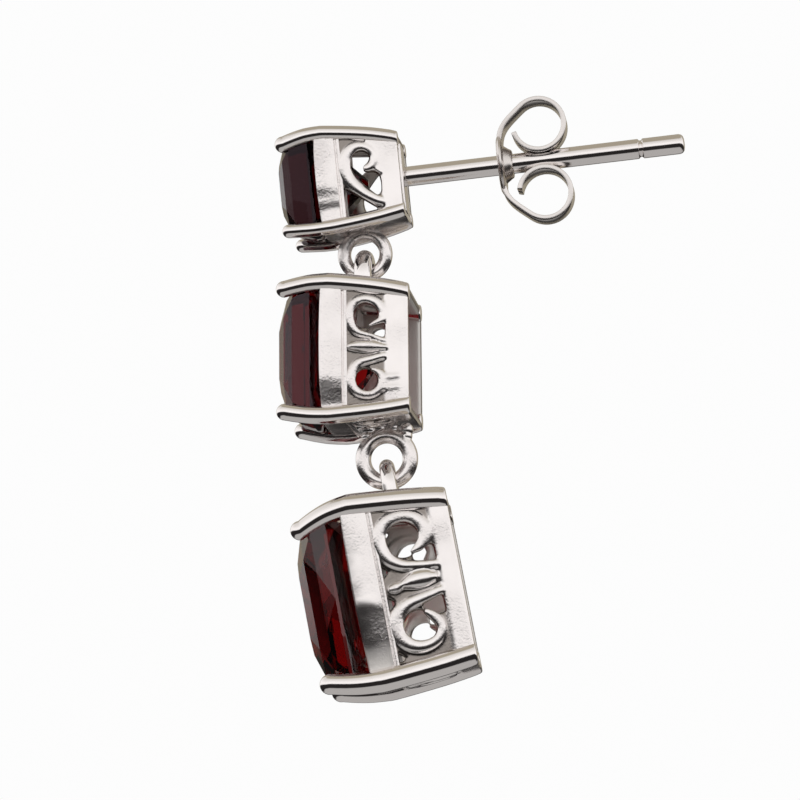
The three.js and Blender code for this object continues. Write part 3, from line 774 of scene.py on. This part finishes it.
# How high strokes and leaf stand over the face, how flat they are, and how deep their ends sink
RELIEF = {"stroke": (0.04, 0.42, 0.07), "leaf": (0.15, 0.72, 0.12)}
SINK_FROM, SINK_OVER = 0.95, 0.2  # how far along a stroke begins to sink into the back edge, and over what
MELT_ROUNDS = 11
print("strokes", {name: len(rows) for name, rows in STROKES.items()})

# %% Carving one side of a gallery


def outline_block(points, low, high):
    """A block whose outline runs through points of (y, z), from x = low to x = high."""
    bpy.ops.object.select_all(action="DESELECT")
    bpy.ops.mesh.primitive_circle_add(vertices=len(points), radius=1, fill_type="NGON",
                                      rotation=(math.pi / 2, 0, math.pi / 2))
    made = bpy.context.object
    apply_place(made)
    starts = [v.co.copy() for v in made.data.vertices]
    open_up(made)
    for start, (y, z) in zip(starts, points):
        target = Vector((low, y, z))
        pick(made, lambda co: (co - start).length < 1e-4)
        bpy.ops.transform.translate(value=target + Vector((50, 0, 0)) - start)
    bpy.ops.mesh.select_all(action="SELECT")
    bpy.ops.transform.translate(value=(-50, 0, 0))
    bpy.ops.mesh.extrude_region_move(TRANSFORM_OT_translate={"value": (high - low, 0, 0)})
    close()
    return face_out(made)


def round_cutter(y, z, radius, low, high):
    bpy.ops.object.select_all(action="DESELECT")
    bpy.ops.mesh.primitive_cylinder_add(vertices=32, radius=radius, depth=high - low,
                                        location=((low + high) / 2, y, z), rotation=(0, math.pi / 2, 0))
    made = bpy.context.object
    apply_place(made)
    return made


def block(low, high, edge):
    """A box between two corners with its edges rounded."""
    bpy.ops.object.select_all(action="DESELECT")
    low, high = Vector(low), Vector(high)
    bpy.ops.mesh.primitive_cube_add(size=1, location=(low + high) / 2, scale=high - low)
    made = bpy.context.object
    apply_place(made)
    open_up(made, "EDGE")
    bpy.ops.mesh.select_all(action="SELECT")
    bpy.ops.mesh.bevel(offset=edge, segments=3, affect="EDGES")
    close()
    return made


def mound(rows, tier, kind):
    """A low rounded ridge through rows of along, up, radius and how far it sinks, from 0 to 1."""
    top, flat, sink = RELIEF[kind]
    wide = tier["gallery"]
    start = -(tier["back_band"] + wide)
    rows = [((top - sink * min(low, 1)) / flat - r * wide, start + a * wide, b * wide, r * wide)
            for a, b, r, low in rows]
    made = bar(rounded_ends(rows), "X", 24)
    open_up(made)
    bpy.ops.mesh.select_all(action="SELECT")
    bpy.ops.transform.resize(value=(flat, 1, 1), center_override=(0, 0, 0))
    close()
    return made


def carve(name, tier):
    """One side of a gallery, lying flat: x out of the wall, y along, z up."""
    wide, wall = tier["gallery"], tier["wall"]
    start = -(tier["back_band"] + wide)
    ground = -GROUND[name]
    up = (reach(tier, 0) + reach(tier, -start)) / 2 - tier["prong"] - 0.06
    y_of = lambda along: start + along * wide
    slab = block((-wall, start - 0.1, -up), (ground, -tier["back_band"] + 0.2, up), 0.02)
    for opening in OPENINGS[name]:
        if isinstance(opening, tuple):
            along, high, radius = opening
            cutter = round_cutter(y_of(along), high * wide, radius * wide, -2 * wall, wall)
        else:
            cutter = outline_block([(y_of(a), b * wide) for a, b in opening], -2 * wall, wall)
        modify(slab, "BOOLEAN", operation="DIFFERENCE", object=cutter, solver="EXACT")
        bpy.data.objects.remove(cutter)
    parts = [slab, block((-wall, y_of(1.0), -up), (0, 0, up), 0.1)]
    for plate in PLATES.get(name, []):
        parts.append(outline_block([(y_of(a), b * wide) for a, b in plate], -wall, 0))
    for stroke in STROKES[name]:
        fine = along_curve(stroke, 4)
        parts.append(mound([(a, b, r, max(0, a - SINK_FROM) / SINK_OVER) for a, b, r in fine], tier, "stroke"))
        rows = [(-0.62 * r * wide - 0.5 * wall, y_of(a), b * wide, r * wide * 0.9) for a, b, r in fine]
        parts.append(bar(rounded_ends(rows), "X", 14))
    for streak in STREAKS.get(name, []):
        parts.append(mound([(a, b, r, 0) for a, b, r in along_curve(streak, 4)], tier, "stroke"))
    if name in LEAF:
        widest = max(r for a, b, r in LEAF[name])
        rows = [(a, b, r, 1 - r / widest) for a, b, r in along_curve(LEAF[name], 5)]
        parts.append(mound(rows, tier, "leaf"))
    side = weld_together(name + "_side", parts)
    modify(side, "REMESH", mode="VOXEL", voxel_size=tier["voxel"])
    modify(side, "SMOOTH", factor=0.5, iterations=MELT_ROUNDS)
    mark_points(side, lambda co, normal: max(-co.x / wall - 0.35, -normal.x) * 4)
    # Painted shade: points deep on the ground and facing out take the dark colour, as shade between the raised
    # strokes
    mark_points(side, lambda co, normal: (co.x / ground - 0.55) / 0.4 if normal.x > -0.2 else 0, "painted_shade")
    return side


def plain_side(tier):
    """The side that carries the ring isn't pierced."""
    up = (reach(tier, 0) + reach(tier, tier["back_band"] + tier["gallery"])) / 2 - tier["prong"] - 0.06
    side = block((-tier["wall"], -(tier["back_band"] + tier["gallery"] + 0.1), -up), (-0.03, 0, up), 0.1)
    mark_points(side, lambda co, normal: -normal.x * 4)
    return side


def lay_on_walls(side, tier, turns):
    """Tilt a carved side onto the sloping wall and repeat it round the basket."""
    depth = tier["back_band"]
    rise = wall_at(tier, depth + tier["gallery"]) - wall_at(tier, depth)
    slope = math.atan2(rise, tier["gallery"])
    pivot = Matrix.Translation((wall_at(tier, depth), -depth, 0))
    tilt = pivot @ Matrix.Rotation(slope, 4, "Z") @ Matrix.Translation((0, depth, 0))
    sides = []
    for turn in turns:
        one = copy_of(side)
        one.matrix_world = Matrix.Rotation(math.radians(turn), 4, "Y") @ tilt
        apply_place(one)
        sides.append(one)
    bpy.data.objects.remove(side)
    return sides


for name, tier in TIERS.items():
    if name == "stud":
        sides = lay_on_walls(carve(name, tier), tier, (0, 180, 270))
        sides += lay_on_walls(plain_side(tier), tier, (90,))
    else:
        sides = lay_on_walls(carve(name, tier), tier, (0, 90, 180, 270))
    gallery = weld_together(name + "_gallery", sides)
    finish_piece(gallery, name + "_gallery", tier_matrix(tier), tier["body"], tier["node"], cast)

# %% [markdown]
# Each basket but the last has a ring below it, soldered on, and each basket but the first has a loop above
# that hangs in the ring. A ring starts as a torus. Solder is a few soft lumps where it meets the basket,
# melted together with it by a fine remesh.

# %% Rings and loops
RINGS = {
    "stud": {"hole": 0.68, "wire": 0.65, "set": 2.29, "hang": -0.26},
    "middle": {"hole": 0.75, "wire": 0.75, "set": 1.44, "hang": 0.16},
}
LOOPS = {
    "middle": {"wire": 0.86, "inside": 0.52, "rise": 1.59, "set": 2.4},
    "drop": {"wire": 0.72, "inside": 0.62, "rise": 1.79, "set": 2.57},
}
SOLDER = {
    "stud": [(-0.52, 0.9, 0.26), (-0.85, 0.5, 0.17), (0.5, 0.92, 0.24), (0.0, 1.15, 0.26), (0.72, 0.7, 0.14),
             (-0.7, 0.78, 0.2)],
    "middle": [(-0.78, 0.86, 0.36), (-0.86, 1.15, 0.33), (0.86, 0.8, 0.36), (0.9, 1.1, 0.34),
               (0.95, 1.4, 0.34), (-0.86, 1.45, 0.34), (0.3, 1.52, 0.3), (-0.3, 1.52, 0.3)],
}


def ring_middle(tier, ring):
    down = wall_at(tier, ring["set"]) + ring["hang"] + ring["hole"] + ring["wire"]
    return Vector((0, -ring["set"], -down))


def solder_ring(name, tier):
    ring = RINGS[name]
    middle = ring_middle(tier, ring)
    bpy.ops.object.select_all(action="DESELECT")
    bpy.ops.mesh.primitive_torus_add(major_radius=ring["hole"] + ring["wire"] / 2,
                                     minor_radius=ring["wire"] / 2, major_segments=64, minor_segments=24,
                                     location=middle, rotation=(0, math.pi / 2, 0))
    parts = [bpy.context.object]
    apply_place(parts[0])
    for y, z, size in SOLDER[name]:
        bpy.ops.object.select_all(action="DESELECT")
        bpy.ops.mesh.primitive_ico_sphere_add(subdivisions=3, radius=size,
                                              location=middle + Vector((0, y, z)))
        parts.append(bpy.context.object)
        apply_place(parts[-1])
    made = weld_together(name + "_ring", parts)
    modify(made, "REMESH", mode="VOXEL", voxel_size=0.035)
    modify(made, "SMOOTH", factor=0.5, iterations=6)
    return made


for name in RINGS:
    tier = TIERS[name]
    finish_piece(solder_ring(name, tier), name + "_ring", tier_matrix(tier), tier["body"], tier["node"],
                 cast)


def loop(name, tier):
    size = LOOPS[name]
    radius = size["inside"] + size["wire"] / 2
    top = wall_at(tier, size["set"]) + size["rise"]
    foot = wall_at(tier, size["set"]) - 0.2
    rows = [(radius, -size["set"], foot, size["wire"] / 2)]
    for i in range(25):
        angle = math.pi * i / 24
        rows.append((radius * math.cos(angle), -size["set"], top - radius + radius * math.sin(angle),
                     size["wire"] / 2))
    rows.append((-radius, -size["set"], foot, size["wire"] / 2))
    return bar(rows, "Y", 28)


for name in LOOPS:
    tier = TIERS[name]
    finish_piece(loop(name, tier), name + "_loop", tier_matrix(tier), tier["body"], tier["node"], polished,
                 50)

# %% [markdown]
# The post is drawn wire, soldered to a bar across the back of the top basket. It has a groove near its tip,
# where the nut clicks, and a rounded end.

# %% Post and back bar
POST = {"radius": 0.48, "length": 13.5, "notch": 2.1, "notch_half": 0.12, "notch_deep": 0.08, "up": 0.14}
BACK_BAR = {"wide": 1.5, "deep": 0.7}


def post():
    radius, end, groove = POST["radius"], POST["length"], POST["length"] - POST["notch"]
    rows = [(-0.35, radius), (0.02, radius), (0.3, radius), (groove - POST["notch_half"], radius),
            (groove - 0.04, radius - POST["notch_deep"]), (groove + 0.04, radius - POST["notch_deep"]),
            (groove + POST["notch_half"], radius), (end - 0.26, radius), (end - 0.14, radius * 0.93),
            (end - 0.05, radius * 0.75), (end - 0.01, radius * 0.45), (end, radius * 0.12)]
    return bar([(0, y, POST["up"], size) for y, size in rows], "X", 40)


stud = TIERS["stud"]
finish_piece(post(), "ear_post", tier_matrix(stud), "stud", "stud_setting", polished, 40)
up = wall_at(stud, 0) - stud["wall"] / 2
across = block((-BACK_BAR["wide"] / 2, -BACK_BAR["deep"], -up), (BACK_BAR["wide"] / 2, 0, up), 0.1)
finish_piece(across, "stud_back_bar", tier_matrix(stud), "stud", "stud_setting", cast, 40)

# %% [markdown]
# The butterfly nut is a strip of springy metal. Its middle is a dished oval plate with a collar, and its
# two ends curl back until they press on the post from both sides. The strip is a flat rectangle pulled
# along its path. The plate is a disc that is extruded and resized through its own section.

# %% The butterfly nut
NUT = {"strip": 0.25, "width": 1.4, "curl": 1.355, "back": 1.96, "grip": 0.165, "across": 1.6, "up": 1.45,
       "bore": 0.52, "lobe_room": 4.58}
# The strip from the plate to where it curls: back and up, in shares of the height of the curl's middle
SHOULDER = [(0, 0.0), (0, 0.3), (0, 0.55), (0.03, 0.76), (0.09, 0.94), (0.19, 1.1), (0.32, 1.24),
            (0.46, 1.365)]
CURL = {"start": 130, "sweep": 298, "turns": 48}


def nut_path():
    bend = NUT["curl"] - NUT["strip"] / 2
    high = POST["radius"] + NUT["curl"] - NUT["grip"]
    curl = []
    for i in range(CURL["turns"] + 1):
        angle = math.radians(CURL["start"] - CURL["sweep"] * i / CURL["turns"])
        curl.append((0, NUT["back"] + bend * math.cos(angle), high + bend * math.sin(angle)))
    shoulder = along_curve([(0, back * high, up * high) for back, up in SHOULDER] + curl[:2], 4)
    return shoulder[:-4] + [Vector(point) for point in curl[1:]]


def strip_half():
    path = nut_path()
    bpy.ops.object.select_all(action="DESELECT")
    bpy.ops.mesh.primitive_plane_add(size=1, location=path[0])
    made = bpy.context.object
    made.scale = (NUT["width"], NUT["strip"], 1)
    apply_place(made)
    open_up(made)
    bpy.ops.mesh.select_all(action="SELECT")
    turn = 0
    for i in range(1, len(path)):
        ahead = path[min(i + 1, len(path) - 1)] - path[i - 1]
        new_turn = math.atan2(-ahead.y, ahead.z)
        bpy.ops.mesh.extrude_region_move(TRANSFORM_OT_translate={"value": path[i] - path[i - 1]})
        bpy.ops.transform.rotate(value=-math.remainder(new_turn - turn, 2 * math.pi), orient_axis="X",
                                 center_override=path[i])
        turn = new_turn
    close()
    return face_out(made)


def nut_plate():
    rows = [(-0.145, 1.2), (-0.13, 1.4), (-0.07, 1.54), (0.0, 1.6), (0.09, 1.56), (0.14, 1.42), (0.15, 1.2),
            (0.16, 1.02), (0.26, 0.93), (0.4, 0.82), (0.52, 0.74), (0.55, 0.68)]
    made = bar([(0, y, 0, size) for y, size in rows], "X", 48)
    open_up(made)
    bpy.ops.mesh.select_all(action="SELECT")
    bpy.ops.transform.resize(value=(1, 1, NUT["up"] / NUT["across"]), center_override=(0, 0, 0))
    close()
    return made


def drill(obj):
    bit = bar([(0, y, 0, NUT["bore"]) for y in (-1, 4.5)], "X", 40)
    modify(obj, "BOOLEAN", operation="DIFFERENCE", object=bit, solver="EXACT")
    bpy.data.objects.remove(bit)
    return obj


nut_place = tier_matrix(stud) @ Matrix.Translation((0, NUT["lobe_room"] + NUT["strip"] / 2, POST["up"]))
for name, side in (("upper", 1), ("lower", -1)):
    half = strip_half()
    if side < 0:
        half.matrix_world = Matrix.Scale(-1, 4, (0, 0, 1))
        apply_place(half)
        face_out(half)
    modify(half, "BEVEL", width=0.035, segments=2, limit_method="ANGLE", angle_limit=math.radians(50))
    drill(half)
    finish_piece(half, "nut_" + name + "_curl", nut_place, "nut", "ear_nut", pressed, 40)
finish_piece(drill(nut_plate()), "nut_plate", nut_place, "nut", "ear_nut", pressed, 40)

# %% [markdown]
# Last, the number of pieces and of their faces is printed.

# %% Pieces and faces
faces = sum(len(piece.data.polygons) for piece in ALL_PIECES)
print("pieces", len(ALL_PIECES), "faces", faces)
